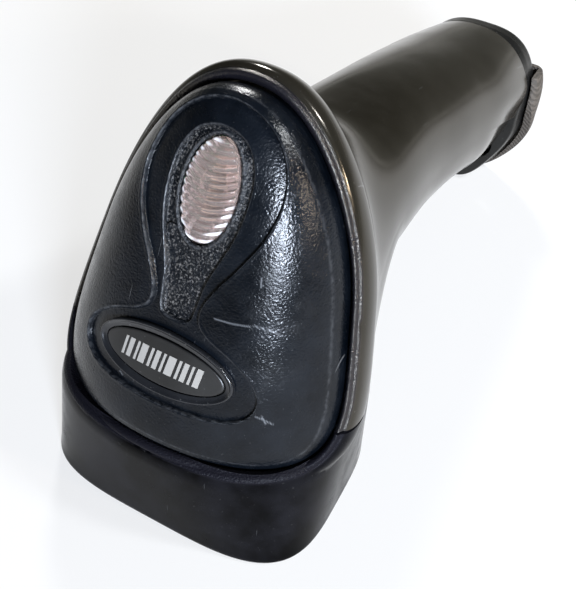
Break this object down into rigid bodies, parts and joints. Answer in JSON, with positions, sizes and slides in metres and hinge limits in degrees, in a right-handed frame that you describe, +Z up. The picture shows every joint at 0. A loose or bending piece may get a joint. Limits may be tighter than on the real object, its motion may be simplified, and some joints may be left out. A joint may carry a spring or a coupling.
{
  "type": "handheld barcode scanner",
  "caption": "Pistol-style handheld laser barcode scanner with a domed head, indicator lens, bumper nose, trigger and cable socket, resting on its nose and handle foot.",
  "frame": {"origin": "centre of the bounding box at the resting surface", "axes": "+Y from the nose towards the handle end, +X to the side, +Z up from the surface the scanner rests on"},
  "size_m": [0.0626, 0.1514, 0.081],
  "materials": {
    "housing_black": "smooth dark moulded plastic, semi-gloss",
    "housing_grey": "smooth dark grey moulded plastic, satin",
    "bumper_black": "black moulded plastic, lightly grained and scuffed",
    "insert_black": "black plastic with a blue cast and a fine pebbled grain",
    "clear_lens": "clear ribbed plastic light guide",
    "trim_gloss": "polished black plastic rim",
    "badge_black": "satin black plate",
    "red_window": "dark red clear plastic",
    "gasket_rubber": "matt black foam rubber",
    "trigger_black": "satin black plastic",
    "steel_pin": "ground steel",
    "spring_steel": "spring wire",
    "switch_black": "black plastic",
    "plunger_ivory": "ivory plastic",
    "board_green": "green solder mask",
    "chip_black": "moulded black package",
    "capacitor_sleeve": "dark printed-free sleeve",
    "connector_ivory": "ivory plastic",
    "beeper_black": "black plastic",
    "socket_black": "black plastic",
    "contact_gold": "gold-plated contacts",
    "collar_black": "smooth olive-black plastic",
    "foot_rubber": "fine diagonal texture, dark brown-grey",
    "chassis_black": "glass-filled black plastic",
    "barrel_brass": "turned brass",
    "laser_glass": "clear lens",
    "can_brass": "gold-plated can",
    "carrier_black": "black plastic",
    "mirror_silver": "first-surface mirror",
    "magnet_nickel": "nickel-plated",
    "coil_copper": "varnished copper wire",
    "core_steel": "plain steel",
    "diode_black": "dark epoxy",
    "filter_red": "red filter glass",
    "cable_grey": "light grey flexible film",
    "lamp_clear": "milky clear lamp body",
    "screw_steel": "dark zinc finish",
    "screw_zinc": "bright zinc finish"
  },
  "bodies": {
    "housing": {"upper_housing": "housing_black", "lower_housing": "housing_grey", "nose_bumper": "bumper_black", "top_insert": "insert_black", "indicator_lens": "clear_lens", "badge_bezel": "trim_gloss", "badge_face": "badge_black", "exit_window": "red_window", "window_gasket": "gasket_rubber", "trigger_pin": "steel_pin", "trigger_spring": "spring_steel", "switch_body": "switch_black", "main_board": "board_green", "decoder_chip": "chip_black", "memory_chip": "chip_black", "smoothing_capacitor": "capacitor_sleeve", "board_connector": "connector_ivory", "beeper": "beeper_black", "cable_socket": "socket_black", "contact_block": "contact_gold", "base_collar": "collar_black", "base_foot": "foot_rubber", "optics_chassis": "chassis_black", "laser_barrel": "barrel_brass", "laser_lens": "laser_glass", "laser_can": "can_brass", "mirror_shaft": "steel_pin", "drive_coil": "coil_copper", "coil_core": "core_steel", "collector_mirror": "mirror_silver", "photodiode": "diode_black", "light_filter": "filter_red", "engine_board": "board_green", "engine_chip": "chip_black", "engine_connector": "connector_ivory", "flat_cable": "cable_grey", "lamp_board": "board_green", "status_lamp_1": "lamp_clear", "status_lamp_2": "lamp_clear", "housing_screw_1": "screw_steel", "housing_screw_2": "screw_steel", "chassis_screw_1": "screw_zinc", "chassis_screw_2": "screw_zinc", "chassis_screw_3": "screw_zinc", "chassis_screw_4": "screw_zinc", "engine_screw_1": "screw_zinc", "engine_screw_2": "screw_zinc", "engine_screw_3": "screw_zinc"},
    "trigger": {"trigger": "trigger_black"},
    "plunger": {"switch_plunger": "plunger_ivory"},
    "mirror": {"mirror_carrier": "carrier_black", "scan_mirror": "mirror_silver", "mirror_magnet": "magnet_nickel"}
  },
  "joints": [
    {"name": "trigger_pull", "type": "hinge", "parent": "housing", "child": "trigger", "pos_m": [0, -0.01243, 0.0295], "axis": [1, 0, 0], "range_deg": [0, 3.5], "stiffness_Nm_per_rad": 0.4, "springref_deg": -2.86, "deforming": ["trigger_spring"]},
    {"name": "switch_press", "type": "slide", "parent": "housing", "child": "plunger", "axis": [0, 0.247, 0.969], "range_m": [0, 0.0008]},
    {"name": "mirror_swing", "type": "hinge", "parent": "housing", "child": "mirror", "pos_m": [0, -0.04082, 0.03611], "axis": [0, 0.7071, -0.7071], "range_deg": [-10, 10], "stiffness_Nm_per_rad": 0.002}
  ],
  "couplings": [
    {"joint": "switch_press", "follows": "trigger_pull", "m_per_rad": 0.012}
  ]
}
